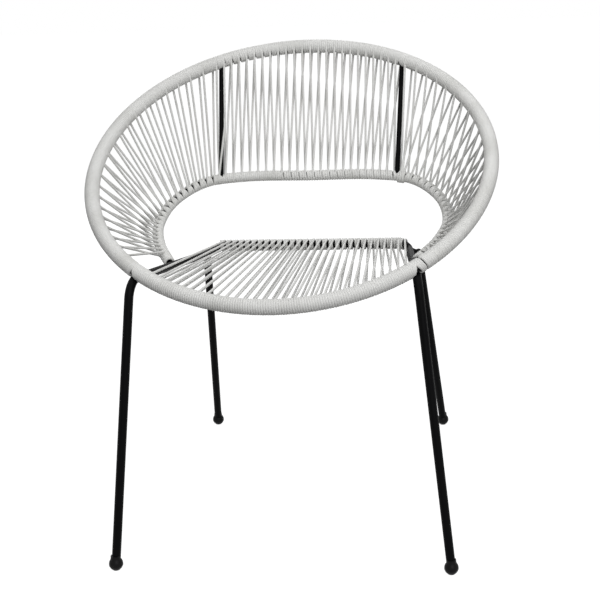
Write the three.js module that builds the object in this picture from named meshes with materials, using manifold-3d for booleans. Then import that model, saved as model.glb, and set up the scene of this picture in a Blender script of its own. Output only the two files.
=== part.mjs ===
// Round hoop chair: a tilted steel ring and a lower back rail on two bent side frames with ball feet,
// wrapped and strung with plastic cord. Millimetres, +Z up, the back towards +Y.
// The origin is on the floor, under the middle of the four feet.
import * as THREE from "three";
import { mergeVertices } from "three/addons/utils/BufferGeometryUtils.js";
import Module from "manifold-3d";

const wasm = await Module();
wasm.setup();

// Clearance between pieces that touch, and the slit between two lengths of wrapping
const CLEARANCE = 0.3;
const WRAP_SLIT = 1;

// Cord
const CORD_DIAMETER = 4;

// Hoop: a ring of steel tube, tilted so that its back is high
const HOOP_RADIUS = 345;
const HOOP_TUBE_DIAMETER = 18;
const HOOP_CENTRE_Y = -20;
const HOOP_CENTRE_Z = 618;
const HOOP_TILT_DEG = 30.5;
const HOOP_STEPS = 60;
const HOOP_SIDES = 10;

// Side frames: front leg, side rail and rear leg bent from one tube each
const FRAME_TUBE_DIAMETER = 14;
const FRAME_WALL = 1.5;
const FRAME_BEND_RADIUS = 30;
const FRAME_BEND_STEPS = 5;
const FRAME_SIDES = 10;
const BASE_DEPTH = 659;
const FRONT_FOOT_X = 275;
const REAR_FOOT_X = 240;
const REAR_CORNER_X = 204;
const REAR_CORNER_Y = 172;
const REAR_CORNER_Z = 431;
const HOOP_CROSSING_DEG = 41.6;
const KNEE_REACH = 26;
const WELD_DEPTH = 0.5;

// Ball feet
const BALL_DIAMETER = 24;
const BALL_FLAT_DEPTH = 1.2;
const BALL_SIDES = 16;
const BALL_RINGS = 8;

// Lower back rail: a bent rod from one side frame round the back to the other. Its right half is given in shares:
// across of the half width, back and up of the way from its end on the side frame to the middle of the back.
const RAIL_ROD_DIAMETER = 12;
const RAIL_STEPS = 44;
const RAIL_SIDES = 8;
const RAIL_HALF_WIDTH = 266;
const RAIL_MIDDLE_Y = 197;
const RAIL_MIDDLE_Z = 557;
const RAIL_END_SHARE = 0.44;
const RAIL_HALF_SHARES = [
  { across: 0.47, back: 0.99, up: 1 },
  { across: 0.75, back: 0.92, up: 0.93 },
  { across: 0.94, back: 0.75, up: 0.68 },
  { across: 1, back: 0.53, up: 0.39 },
  { across: 0.94, back: 0.27, up: 0.17 },
];
const RAIL_WRAP_START = 22;

// Back struts and rear seat bar
const STRUT_DIAMETER = 9;
const LEFT_STRUT_TOP_X = 165;
const RIGHT_STRUT_TOP_X = 181;
const STRUT_FOOT_X = 168;
const STRUT_SIDES = 10;
const BAR_DIAMETER = 12;
const BAR_SIDES = 10;

// Strung cord: how many loops each length has, and how far its ends stay from legs, struts and frame
const LOOP_SIDES = 5;
const HOOP_TURN_STEPS = 4;
const ROD_TURN_STEPS = 3;
const BACK_LOOPS = 22;
const ARM_LOOPS = 22;
const SEAT_HALF_LOOPS = 14;
const STRUT_CORD_GAP = 14;
const ARM_LEG_GAP = 38;
const ARM_RAIL_START = 56;
const SEAT_LEG_GAP = 28;
const SEAT_LEFT_GAP = 14;
const SEAT_RIGHT_GAP = 34;
const GAP_SAMPLE = 3;

// Sizes that follow from those above
const CORD_RADIUS = CORD_DIAMETER / 2;
const HOOP_TUBE_RADIUS = HOOP_TUBE_DIAMETER / 2;
const HOOP_WRAP_RADIUS = HOOP_TUBE_RADIUS + CORD_DIAMETER;
const FRAME_RADIUS = FRAME_TUBE_DIAMETER / 2;
const BALL_RADIUS = BALL_DIAMETER / 2;
const BALL_CENTRE_Z = BALL_RADIUS - BALL_FLAT_DEPTH;
const RAIL_ROD_RADIUS = RAIL_ROD_DIAMETER / 2;
const RAIL_WRAP_RADIUS = RAIL_ROD_RADIUS + CORD_DIAMETER;
const BAR_RADIUS = BAR_DIAMETER / 2;
const STRUT_RADIUS = STRUT_DIAMETER / 2;
const FULL_TURN = 2 * Math.PI;
const FULL_TURN_DEG = 360;
const HALF_TURN_DEG = 180;

const CORD_FINISH = { color: 0xdcdcda, roughness: 0.55, metalness: 0 };
const STEEL_FINISH = { color: 0x1b1b1c, roughness: 0.5, metalness: 0.3 };
const BALL_FINISH = { color: 0x161617, roughness: 0.6, metalness: 0 };

const point = (x, y, z) => new THREE.Vector3(x, y, z);
const mirrored = (p) => point(-p.x, p.y, p.z);
const between = (a, b, share) => a.clone().lerp(b, share);

// A path through chosen stations. Its parameter counts stations, so a straight run needs only its two ends.
class Route extends THREE.Curve {
  constructor(stations) {
    super();
    this.stations = stations;
  }

  getPoint(t, target = new THREE.Vector3()) {
    const last = this.stations.length - 1;
    const i = Math.min(Math.floor(t * last), last - 1);
    return target.lerpVectors(this.stations[i], this.stations[i + 1], t * last - i);
  }

  getPointAt(u, target) {
    return this.getPoint(u, target);
  }

  getTangentAt(u, target = new THREE.Vector3()) {
    const last = this.stations.length - 1;
    const i = Math.round(u * last);
    target.set(0, 0, 0);
    for (const k of [i - 1, i]) {
      if (k < 0 || k >= last) continue;
      target.add(this.stations[k + 1].clone().sub(this.stations[k]).normalize());
    }
    return target.normalize();
  }
}

// The corners of a regular polygon
function polygon(radius, sides) {
  return Array.from({ length: sides }, (_, i) => {
    const a = (FULL_TURN * i) / sides;
    return new THREE.Vector2(radius * Math.cos(a), radius * Math.sin(a));
  });
}

// A round bar, or a tube where a bore is given, along stations
function bar(stations, radius, sides, boreRadius = 0) {
  const shape = new THREE.Shape(polygon(radius, sides));
  if (boreRadius > 0) shape.holes.push(new THREE.Path(polygon(boreRadius, sides)));
  return new THREE.ExtrudeGeometry(shape, {
    steps: stations.length - 1,
    bevelEnabled: false,
    extrudePath: new Route(stations),
  });
}

// The same stations, made longer by one amount at both ends
function lengthened(stations, amount) {
  const longer = stations.map((p) => p.clone());
  const last = longer.length - 1;
  longer[0].add(stations[0].clone().sub(stations[1]).setLength(amount));
  longer[last].add(stations[last].clone().sub(stations[last - 1]).setLength(amount));
  return longer;
}

function solidOf(geometry) {
  const bare = geometry.clone();
  bare.deleteAttribute("normal");
  bare.deleteAttribute("uv");
  const merged = mergeVertices(bare);
  return new wasm.Manifold(
    new wasm.Mesh({
      numProp: 3,
      vertProperties: merged.attributes.position.array,
      triVerts: new Uint32Array(merged.index.array),
    }),
  );
}

// The geometry less the room that its neighbours need
function cut(geometry, ...neighbours) {
  let solid = solidOf(geometry);
  for (const neighbour of neighbours) solid = solid.subtract(solidOf(neighbour));
  const mesh = solid.getMesh();
  const result = new THREE.BufferGeometry();
  result.setAttribute("position", new THREE.BufferAttribute(mesh.vertProperties, 3));
  result.setIndex(new THREE.BufferAttribute(mesh.triVerts, 1));
  result.computeVertexNormals();
  return result;
}

// Straight runs between corners, joined by bends of one radius
function bentRun(corners, bendRadius, bendSteps) {
  const stations = [corners[0].clone()];
  for (let i = 1; i < corners.length - 1; i++) {
    const into = corners[i].clone().sub(corners[i - 1]).normalize();
    const out = corners[i + 1].clone().sub(corners[i]).normalize();
    const turn = into.angleTo(out);
    const inside = out.clone().addScaledVector(into, -into.dot(out)).normalize();
    const centre = corners[i].clone();
    centre.addScaledVector(into, -bendRadius * Math.tan(turn / 2));
    centre.addScaledVector(inside, bendRadius);
    for (let k = 0; k <= bendSteps; k++) {
      const a = (turn * k) / bendSteps;
      const station = centre.clone().addScaledVector(inside, -bendRadius * Math.cos(a));
      stations.push(station.addScaledVector(into, bendRadius * Math.sin(a)));
    }
  }
  stations.push(corners.at(-1).clone());
  return stations;
}

// Where the hoop's centre line is at an angle from its front, positive to the right
function hoopPoint(deg) {
  const a = THREE.MathUtils.degToRad(deg);
  const tilt = THREE.MathUtils.degToRad(HOOP_TILT_DEG);
  const back = -HOOP_RADIUS * Math.cos(a);
  return point(
    HOOP_RADIUS * Math.sin(a),
    HOOP_CENTRE_Y + back * Math.cos(tilt),
    HOOP_CENTRE_Z + back * Math.sin(tilt),
  );
}

function hoopTangent(deg) {
  const a = THREE.MathUtils.degToRad(deg);
  const tilt = THREE.MathUtils.degToRad(HOOP_TILT_DEG);
  const rise = Math.sin(a);
  return point(Math.cos(a), rise * Math.cos(tilt), rise * Math.sin(tilt));
}

// The angle of a length along the hoop
function hoopDegOf(length) {
  return THREE.MathUtils.radToDeg(length / HOOP_RADIUS);
}

// Stations on the hoop's own facets from one angle to another
function hoopStations(fromDeg, toDeg) {
  const step = FULL_TURN_DEG / HOOP_STEPS;
  const onFacet = (deg) => {
    const i = Math.floor(deg / step);
    return between(hoopPoint(i * step), hoopPoint((i + 1) * step), deg / step - i);
  };
  const stations = [onFacet(fromDeg)];
  for (let i = Math.floor(fromDeg / step) + 1; i * step < toDeg; i++) stations.push(hoopPoint(i * step));
  stations.push(onFacet(toDeg));
  return stations;
}

function hoopRing(tubeRadius) {
  const ring = new THREE.TorusGeometry(HOOP_RADIUS, tubeRadius, HOOP_SIDES, HOOP_STEPS);
  ring.rotateX(THREE.MathUtils.degToRad(HOOP_TILT_DEG));
  ring.translate(0, HOOP_CENTRE_Y, HOOP_CENTRE_Z);
  return ring;
}

// The right side frame passes under the hoop with its tube welded to the hoop's underside
const rearCorner = point(REAR_CORNER_X, REAR_CORNER_Y, REAR_CORNER_Z);
const crossing = hoopPoint(HOOP_CROSSING_DEG);
const squareToBoth = hoopTangent(HOOP_CROSSING_DEG).cross(rearCorner.clone().sub(crossing)).normalize();
const weldDistance = HOOP_TUBE_RADIUS + FRAME_RADIUS - WELD_DEPTH;
const underHoop = crossing.clone();
underHoop.z -= weldDistance / Math.abs(squareToBoth.z);
const railDirection = rearCorner.clone().sub(underHoop).normalize();
const frontFoot = point(FRONT_FOOT_X, -BASE_DEPTH / 2, BALL_CENTRE_Z);
const rearFoot = point(REAR_FOOT_X, BASE_DEPTH / 2, BALL_CENTRE_Z);
const frameCorners = [
  frontFoot,
  underHoop.clone().addScaledVector(railDirection, -KNEE_REACH),
  rearCorner,
  rearFoot,
];
const frameStations = bentRun(frameCorners, FRAME_BEND_RADIUS, FRAME_BEND_STEPS);
const frameRoom = bar(lengthened(frameStations, CLEARANCE), FRAME_RADIUS + CLEARANCE, FRAME_SIDES);
const frameRoomLeft = bar(
  lengthened(frameStations.map(mirrored), CLEARANCE),
  FRAME_RADIUS + CLEARANCE,
  FRAME_SIDES,
);

// The seat bar runs between the middles of the two rear bends
const bendMiddle = frameStations.length - 2 - FRAME_BEND_STEPS / 2;
const rearBend = between(
  frameStations[Math.floor(bendMiddle)],
  frameStations[Math.ceil(bendMiddle)],
  bendMiddle % 1,
);
const barStations = [mirrored(rearBend), rearBend];

// The whole back rail, from the left arm end to the right one
const railEnd = between(underHoop, rearCorner, RAIL_END_SHARE);
const railHalf = RAIL_HALF_SHARES.map(({ across, back, up }) =>
  point(
    across * RAIL_HALF_WIDTH,
    THREE.MathUtils.lerp(railEnd.y, RAIL_MIDDLE_Y, back),
    THREE.MathUtils.lerp(railEnd.z, RAIL_MIDDLE_Z, up),
  ),
);
railHalf.push(railEnd);
const railCurve = new THREE.CatmullRomCurve3(
  [
    ...railHalf.map(mirrored).reverse(),
    point(0, RAIL_MIDDLE_Y, RAIL_MIDDLE_Z),
    ...railHalf,
  ],
  false,
  "centripetal",
);
const railStations = railCurve.getSpacedPoints(RAIL_STEPS);
const railLength = railCurve.getLength();
const railRoom = bar(lengthened(railStations, CLEARANCE), RAIL_ROD_RADIUS + CLEARANCE, RAIL_SIDES);

// The length along the rail, from its left end, of the point with a given place across
function railLengthAt(x) {
  let low = 0;
  let high = 1;
  for (let k = 0; k < RAIL_STEPS; k++) {
    const middle = (low + high) / 2;
    if (railCurve.getPointAt(middle).x < x) low = middle;
    else high = middle;
  }
  return low * railLength;
}

// Stations on the rod's own facets between two lengths along the rail
function railStationsBetween(from, to) {
  const step = railLength / RAIL_STEPS;
  const onFacet = (length) => {
    const i = Math.min(Math.floor(length / step), RAIL_STEPS - 1);
    return between(railStations[i], railStations[i + 1], length / step - i);
  };
  const stations = [onFacet(from)];
  for (let i = Math.floor(from / step) + 1; i * step < to; i++) stations.push(railStations[i].clone());
  stations.push(onFacet(to));
  return stations;
}

const root = new THREE.Group();
const frame = new THREE.Group();
const wrapping = new THREE.Group();
const stringing = new THREE.Group();
root.add(frame, wrapping, stringing);

function add(group, name, geometry, finish) {
  const mesh = new THREE.Mesh(geometry, new THREE.MeshStandardMaterial(finish));
  mesh.name = name;
  group.add(mesh);
}

// Ball foot with a flat underneath and a socket for the end of the leg
function ballFoot(centre, legRoom) {
  const flatRadius = Math.sqrt(BALL_RADIUS ** 2 - BALL_CENTRE_Z ** 2);
  const lowest = Math.atan2(flatRadius, BALL_CENTRE_Z);
  const profile = [new THREE.Vector2(0, -BALL_CENTRE_Z)];
  for (let i = 0; i < BALL_RINGS; i++) {
    const a = lowest + ((Math.PI - lowest) * i) / BALL_RINGS;
    profile.push(new THREE.Vector2(BALL_RADIUS * Math.sin(a), -BALL_RADIUS * Math.cos(a)));
  }
  profile.push(new THREE.Vector2(0, BALL_RADIUS));
  const ball = new THREE.LatheGeometry(profile, BALL_SIDES);
  ball.rotateX(Math.PI / 2);
  ball.translate(centre.x, centre.y, centre.z);
  return cut(ball, legRoom);
}

// The angle of a point on the rear of the hoop, on its right side
function rearHoopDeg(x) {
  return HALF_TURN_DEG - THREE.MathUtils.radToDeg(Math.asin(x / HOOP_RADIUS));
}

const sides = [
  { side: "left", turned: mirrored, room: frameRoomLeft, strutTop: rearHoopDeg(LEFT_STRUT_TOP_X) },
  { side: "right", turned: (p) => p.clone(), room: frameRoom, strutTop: rearHoopDeg(RIGHT_STRUT_TOP_X) },
];

// Steel frame
add(frame, "hoop_ring", cut(hoopRing(HOOP_TUBE_RADIUS), frameRoom, frameRoomLeft), STEEL_FINISH);
add(
  frame,
  "back_rail",
  cut(bar(railStations, RAIL_ROD_RADIUS, RAIL_SIDES), frameRoom, frameRoomLeft),
  STEEL_FINISH,
);
add(
  frame,
  "rear_seat_bar",
  cut(bar(barStations, BAR_RADIUS, BAR_SIDES), frameRoom, frameRoomLeft),
  STEEL_FINISH,
);

const leftStrutDeg = FULL_TURN_DEG - rearHoopDeg(LEFT_STRUT_TOP_X);
const rightStrutDeg = rearHoopDeg(RIGHT_STRUT_TOP_X);
const strutFootLength = railLengthAt(STRUT_FOOT_X);
const strutFoot = railCurve.getPointAt(strutFootLength / railLength);
const hoopRoom = hoopRing(HOOP_TUBE_RADIUS + CLEARANCE);
const strutRooms = [];
for (const { side, turned, room, strutTop } of sides) {
  const strutStations = [hoopPoint(strutTop), strutFoot].map(turned);
  const frameBar = bar(frameStations.map(turned), FRAME_RADIUS, FRAME_SIDES, FRAME_RADIUS - FRAME_WALL);
  add(frame, "side_frame_" + side, frameBar, STEEL_FINISH);
  const strut = bar(strutStations, STRUT_RADIUS, STRUT_SIDES);
  add(frame, "back_strut_" + side, cut(strut, hoopRoom, railRoom), STEEL_FINISH);
  strutRooms.push(bar(strutStations, STRUT_RADIUS + CLEARANCE, STRUT_SIDES));
  add(frame, "ball_foot_front_" + side, ballFoot(turned(frontFoot), room), BALL_FINISH);
  add(frame, "ball_foot_rear_" + side, ballFoot(turned(rearFoot), room), BALL_FINISH);
}

// Cord wrapping on the hoop, in one length between each leg or strut and the next
const slitDeg = hoopDegOf(WRAP_SLIT / 2);
const hoopWraps = [
  { name: "hoop_wrap_front", from: -HOOP_CROSSING_DEG, to: HOOP_CROSSING_DEG },
  { name: "hoop_wrap_right_arm", from: HOOP_CROSSING_DEG, to: rightStrutDeg },
  { name: "hoop_wrap_back", from: rightStrutDeg, to: leftStrutDeg },
  { name: "hoop_wrap_left_arm", from: leftStrutDeg, to: FULL_TURN_DEG - HOOP_CROSSING_DEG },
];
for (const { name, from, to } of hoopWraps) {
  const sleeve = bar(hoopStations(from + slitDeg, to - slitDeg), HOOP_WRAP_RADIUS, HOOP_SIDES);
  add(wrapping, name, cut(sleeve, hoopRoom, frameRoom, frameRoomLeft, ...strutRooms), CORD_FINISH);
}

// Cord wrapping on the back rail, from arm end to strut, strut to strut, and strut to arm end
const railWraps = [
  { name: "rail_wrap_left_arm", from: RAIL_WRAP_START, to: railLength - strutFootLength },
  { name: "rail_wrap_back", from: railLength - strutFootLength, to: strutFootLength },
  { name: "rail_wrap_right_arm", from: strutFootLength, to: railLength - RAIL_WRAP_START },
];
for (const { name, from, to } of railWraps) {
  const stations = railStationsBetween(from + WRAP_SLIT / 2, to - WRAP_SLIT / 2);
  const sleeve = bar(stations, RAIL_WRAP_RADIUS, RAIL_SIDES);
  add(wrapping, name, cut(sleeve, railRoom, frameRoom, frameRoomLeft, ...strutRooms), CORD_FINISH);
}

// The radius of a loop's corners, so that its flats clear what it goes round
function loopRadius(coreRadius, steps) {
  return (coreRadius + CLEARANCE + CORD_RADIUS) / Math.cos(Math.PI / steps / 2);
}
const HOOP_LOOP_RADIUS = loopRadius(HOOP_WRAP_RADIUS, HOOP_TURN_STEPS);
const RAIL_LOOP_RADIUS = loopRadius(RAIL_WRAP_RADIUS, ROD_TURN_STEPS);
const BAR_LOOP_RADIUS = loopRadius(BAR_RADIUS, ROD_TURN_STEPS);

// Half a turn round a seat, from its rear face over the far side to its front face, or back again
function halfTurn(seat, towards, radius, steps, backAgain) {
  const along = towards.clone().addScaledVector(seat.tangent, -towards.dot(seat.tangent)).normalize();
  const face = seat.tangent.clone().cross(along);
  const turn = backAgain ? 1 : -1;
  const stations = [];
  for (let k = 0; k <= steps; k++) {
    const a = (Math.PI * k) / steps;
    const station = seat.at.clone().addScaledVector(face, turn * radius * Math.cos(a));
    stations.push(station.addScaledVector(along, turn * radius * Math.sin(a)));
  }
  return { stations, along };
}

// One unbroken cord strung to and fro between two rows of seats, with one more seat in the first row
function strungCord(hoopSeats, rodSeats, rodLoopRadius) {
  const stations = [];
  hoopSeats.forEach((hoopSeat, i) => {
    const partner = rodSeats[Math.min(i, rodSeats.length - 1)];
    const towards = partner.at.clone().sub(hoopSeat.at);
    const round = halfTurn(hoopSeat, towards, HOOP_LOOP_RADIUS, HOOP_TURN_STEPS, false);
    if (i === 0) stations.push(round.stations[0].clone().addScaledVector(round.along, CORD_DIAMETER));
    stations.push(...round.stations);
    if (i === rodSeats.length) {
      stations.push(round.stations.at(-1).clone().addScaledVector(round.along, CORD_DIAMETER));
      return;
    }
    stations.push(...halfTurn(rodSeats[i], towards, rodLoopRadius, ROD_TURN_STEPS, true).stations);
  });
  return stations;
}

// The least gap between stretches of one cord that lie more than a few diameters apart along it
function leastGap(stations) {
  const samples = [];
  let run = 0;
  for (let i = 0; i + 1 < stations.length; i++) {
    const length = stations[i].distanceTo(stations[i + 1]);
    const count = Math.max(1, Math.ceil(length / GAP_SAMPLE));
    for (let k = 0; k < count; k++) {
      samples.push({ at: between(stations[i], stations[i + 1], k / count), run: run + (length * k) / count });
    }
    run += length;
  }
  const apart = HOOP_LOOP_RADIUS * 2;
  let least = Infinity;
  samples.forEach((a, i) => {
    for (let j = i + 1; j < samples.length; j++) {
      if (samples[j].run - a.run > apart) least = Math.min(least, a.at.distanceTo(samples[j].at));
    }
  });
  return { gap: least - CORD_DIAMETER, run };
}

// Seats spread evenly along the hoop
function hoopSeats(fromDeg, toDeg, count) {
  return Array.from({ length: count }, (_, i) => {
    const deg = THREE.MathUtils.lerp(fromDeg, toDeg, i / (count - 1));
    return { at: hoopPoint(deg), tangent: hoopTangent(deg) };
  });
}

// Seats spread evenly along the rail, each half way between two hoop seats. At the back and the arms
// the hoop's angle grows from right to left, so the rail's tangent is turned to run the same way.
function railSeats(from, to, count) {
  return Array.from({ length: count }, (_, i) => {
    const u = THREE.MathUtils.lerp(from, to, (i + 1 / 2) / count) / railLength;
    return { at: railCurve.getPointAt(u), tangent: railCurve.getTangentAt(u).negate() };
  });
}

function addCord(name, stations) {
  const { gap, run } = leastGap(stations);
  console.log(name + ": least gap to itself " + gap.toFixed(2) + " mm, length " + run.toFixed(0) + " mm");
  add(stringing, name, bar(stations, CORD_RADIUS, LOOP_SIDES), CORD_FINISH);
}

// Back: between the struts
const strutGapDeg = hoopDegOf(STRUT_CORD_GAP);
addCord(
  "back_cord",
  strungCord(
    hoopSeats(leftStrutDeg - strutGapDeg, rightStrutDeg + strutGapDeg, BACK_LOOPS + 1),
    railSeats(railLength - strutFootLength + STRUT_CORD_GAP, strutFootLength - STRUT_CORD_GAP, BACK_LOOPS),
    RAIL_LOOP_RADIUS,
  ),
);

// Arms: from each leg up to the strut, the left one laid out on the right and mirrored
for (const { side, turned, strutTop } of sides) {
  const armStations = strungCord(
    hoopSeats(HOOP_CROSSING_DEG + hoopDegOf(ARM_LEG_GAP), strutTop - strutGapDeg, ARM_LOOPS + 1),
    railSeats(railLength - ARM_RAIL_START, strutFootLength + STRUT_CORD_GAP, ARM_LOOPS),
    RAIL_LOOP_RADIUS,
  );
  addCord("arm_cord_" + side, armStations.map(turned));
}

// Seat: two lengths of cord that share the front of the hoop and the rear bar
const seatEndDeg = HOOP_CROSSING_DEG - hoopDegOf(SEAT_LEG_GAP);
const seatHoopSeats = hoopSeats(-seatEndDeg, seatEndDeg, 2 * (SEAT_HALF_LOOPS + 1));
const seatBarSeats = Array.from({ length: 2 * SEAT_HALF_LOOPS }, (_, i) => {
  const across = (i + 1 / 2) / (2 * SEAT_HALF_LOOPS);
  const x = THREE.MathUtils.lerp(SEAT_LEFT_GAP - rearBend.x, rearBend.x - SEAT_RIGHT_GAP, across);
  return { at: point(x, rearBend.y, rearBend.z), tangent: point(1, 0, 0) };
});
["left", "right"].forEach((side, k) => {
  const hoopPart = seatHoopSeats.slice(k * (SEAT_HALF_LOOPS + 1), (k + 1) * (SEAT_HALF_LOOPS + 1));
  const barPart = seatBarSeats.slice(k * SEAT_HALF_LOOPS, (k + 1) * SEAT_HALF_LOOPS);
  addCord("seat_cord_" + side, strungCord(hoopPart, barPart, BAR_LOOP_RADIUS));
});

export default root;
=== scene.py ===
"""Round corded lounge chair: a wound hoop and back rail on a bent steel frame with ball feet.

Lengths are in metres, +Z is up and the back is towards +Y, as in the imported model.
"""

import logging
from bisect import bisect_left
from dataclasses import dataclass, field
from enum import Enum
from math import acos, asin, atan2, copysign, cos, exp, hypot, pi, radians, sin, sqrt, tan
from typing import Callable, Sequence

import bpy
from bpy.types import Material, Node, NodeSocket, NodeTree, Object
from mathutils import Matrix, Vector


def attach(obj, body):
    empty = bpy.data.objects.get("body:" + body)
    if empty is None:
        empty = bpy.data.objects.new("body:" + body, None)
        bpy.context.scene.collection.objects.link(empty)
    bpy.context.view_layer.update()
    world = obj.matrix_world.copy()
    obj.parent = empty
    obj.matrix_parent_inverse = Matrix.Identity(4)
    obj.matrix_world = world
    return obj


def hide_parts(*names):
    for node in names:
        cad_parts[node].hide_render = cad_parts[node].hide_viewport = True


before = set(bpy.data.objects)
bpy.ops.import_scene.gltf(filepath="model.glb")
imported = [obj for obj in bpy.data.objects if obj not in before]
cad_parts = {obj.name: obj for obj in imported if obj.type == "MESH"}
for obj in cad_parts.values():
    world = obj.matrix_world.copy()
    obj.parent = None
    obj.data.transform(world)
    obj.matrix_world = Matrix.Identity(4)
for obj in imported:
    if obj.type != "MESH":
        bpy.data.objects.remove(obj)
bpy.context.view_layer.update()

LOG = logging.getLogger("chair")
MM = 0.001
BODY = "root"

# Corners nearer than the first merge, and edges past the second, in degrees, stay sharp.
ROD_JOINS = (0.005 * MM, 60)
TURNED_JOINS = (0.01 * MM, 35)


class Side(Enum):
    """The two sides of the chair, as seen from in front."""

    LEFT = -1
    RIGHT = 1

    @property
    def word(self) -> str:
        """The side's name in a piece's name."""
        return self.name.lower()

    def turned(self, point: Vector) -> Vector:
        """A point of the right side, mirrored for the left one."""
        return Vector((self.value * point.x, point.y, point.z))


class Slot(Enum):
    """The material slots."""

    STEEL = "frame_steel"
    FOOT = "ball_foot"
    CORD = "cord"


@dataclass(frozen=True)
class Station:
    """A place on a centre line.

    Args:
        at: The place.
        tangent: The direction of the centre line there, of length 1.
    """

    at: Vector
    tangent: Vector


# ---- finishes


def linear(hex_colour: str) -> tuple[float, float, float, float]:
    """Turns an sRGB hex colour to the linear colour that the shaders take.

    Args:
        hex_colour: Six hex digits after a hash sign.

    Returns:
        Linear red, green and blue, and 1 for alpha.
    """
    shares = [int(hex_colour[i : i + 2], 16) / 255 for i in (1, 3, 5)]
    red, green, blue = (c / 12.92 if c <= 0.04045 else ((c + 0.055) / 1.055) ** 2.4 for c in shares)
    return (red, green, blue, 1.0)


def add_node(tree: NodeTree, kind: str, settings: dict | None = None, links: dict | None = None) -> Node:
    """Adds a node to a tree with its settings and links.

    Args:
        tree: The node tree.
        kind: The node's type.
        settings: Values for the node's properties and for its inputs, by name.
        links: The output sockets that feed its inputs, by the input's name or number.

    Returns:
        The new node.
    """
    node = tree.nodes.new(kind)
    for name, value in (settings or {}).items():
        if name in node.inputs:
            node.inputs[name].default_value = value
        else:
            setattr(node, name, value)
    for name, socket in (links or {}).items():
        tree.links.new(socket, node.inputs[name])
    return node


def new_material(name: str) -> tuple[Material, NodeTree]:
    """Makes an empty node material.

    Args:
        name: The material's name.

    Returns:
        The material and its node tree.
    """
    material = bpy.data.materials.new(name)
    material.use_nodes = True
    material.node_tree.nodes.clear()
    return material, material.node_tree


@dataclass(frozen=True)
class Finish:
    """A surface whose colour runs between two tones, in soft clouds, and whose skin has a fine relief.

    Args:
        name: What the real surface is.
        tones: The colours at the pattern's low and high end.
        tones_at: The pattern's values there.
        cloud_mm: The clouds' size across.
        relief_mm: The size of the relief's grain.
    """

    name: str
    tones: tuple[str, str]
    tones_at: tuple[float, float] = (0.0, 1.0)
    cloud_mm: float = 60
    cloud_detail: float = 3.0
    roughness: float = 0.5
    specular: float = 0.3
    relief_mm: float = 2.5
    relief_detail: float = 2.0
    relief_strength: float = 0.1
    relief_depth_mm: float = 0.1

    def pattern(self, tree: NodeTree, place: NodeSocket) -> NodeSocket:
        """Adds the nodes of the pattern that the colour follows.

        Args:
            tree: The material's node tree.
            place: The place on the object.

        Returns:
            The pattern's value.
        """
        cloud = {"Scale": 1 / (self.cloud_mm * MM), "Detail": self.cloud_detail}
        return add_node(tree, "ShaderNodeTexNoise", cloud, {"Vector": place}).outputs["Fac"]

    def material(self) -> Material:
        """Builds the material.

        Returns:
            The material.
        """
        material, tree = new_material(self.name)
        place = add_node(tree, "ShaderNodeTexCoord").outputs["Object"]
        ramp = add_node(tree, "ShaderNodeValToRGB", links={"Fac": self.pattern(tree, place)})
        for stop, at, tone in zip(ramp.color_ramp.elements, self.tones_at, self.tones):
            stop.position, stop.color = at, linear(tone)
        grain = {"Scale": 1 / (self.relief_mm * MM), "Detail": self.relief_detail}
        relief = add_node(tree, "ShaderNodeTexNoise", grain, {"Vector": place})
        depth = {"Strength": self.relief_strength, "Distance": self.relief_depth_mm * MM}
        bump = add_node(tree, "ShaderNodeBump", depth, {"Height": relief.outputs["Fac"]})
        skin = {"Roughness": self.roughness, "Specular IOR Level": self.specular}
        laid = {"Base Color": ramp.outputs["Color"], "Normal": bump.outputs["Normal"]}
        shader = add_node(tree, "ShaderNodeBsdfPrincipled", skin, laid)
        add_node(tree, "ShaderNodeOutputMaterial", links={"Surface": shader.outputs["BSDF"]})
        return material


@dataclass(frozen=True)
class CordFinish(Finish):
    """Extruded PVC cord: an off-white, evenly dull plastic skin that shines softly along each strand.

    The ripple that the extruder's die leaves is finer than this; it is drawn coarser so that it shows.
    """

    name: str = "extruded PVC cord"
    tones: tuple[str, str] = ("#dededb", "#eaeae8")
    tones_at: tuple[float, float] = (0.3, 0.55)
    relief_strength: float = 0.03


@dataclass(frozen=True)
class SteelFinish(Finish):
    """Powder-coated steel: a near-black satin coat with a fine, soft pebble that spreads each highlight.

    The real pebble is about 0.5 mm across; it is drawn coarser so that it shows.
    """

    name: str = "powder-coated steel"
    tones: tuple[str, str] = ("#040405", "#080809")
    tones_at: tuple[float, float] = (0.4, 0.75)
    specular: float = 0.05
    relief_mm: float = 1.6
    relief_detail: float = 1.0
    relief_strength: float = 0.2
    relief_depth_mm: float = 0.15
    cloud_mm: float = 45
    cloud_detail: float = 4.0


@dataclass(frozen=True)
class FootFinish(Finish):
    """Moulded black plastic: a smooth skin, with a painted reflection of the pale floor that makes it greyer towards
    the floor.

    The mould's grain is finer than this; it is drawn coarser so that it shows.

    Args:
        floor_reflection_height: How far up from the floor the painted reflection of the floor reaches.
    """

    name: str = "moulded black plastic"
    # The first tone is a painted reflection of the pale floor, low on the ball; the second is the plastic's own
    # near-black.
    tones: tuple[str, str] = ("#2c2c2e", "#0e0e0f")
    roughness: float = 0.45
    specular: float = 0.1
    relief_mm: float = 0.8
    floor_reflection_height: float = 6 * MM

    def pattern(self, tree: NodeTree, place: NodeSocket) -> NodeSocket:
        """Adds the nodes that measure how far up the band of painted floor reflection a place is.

        Args:
            tree: The material's node tree.
            place: The place on the object.

        Returns:
            The share of the way up.
        """
        parts = add_node(tree, "ShaderNodeSeparateXYZ", links={"Vector": place})
        # How far up the painted floor reflection a place is, from 0 at the floor to 1 at its top.
        floor_reflection_range = {"From Min": 0.0, "From Max": self.floor_reflection_height}
        return add_node(tree, "ShaderNodeMapRange", floor_reflection_range, {"Value": parts.outputs["Z"]}).outputs["Result"]


# ---- modelling tools


def nothing_selected() -> None:
    """Leaves edit mode and deselects every object."""
    if bpy.context.object and bpy.context.object.mode != "OBJECT":
        bpy.ops.object.mode_set(mode="OBJECT")
    bpy.ops.object.select_all(action="DESELECT")


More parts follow.
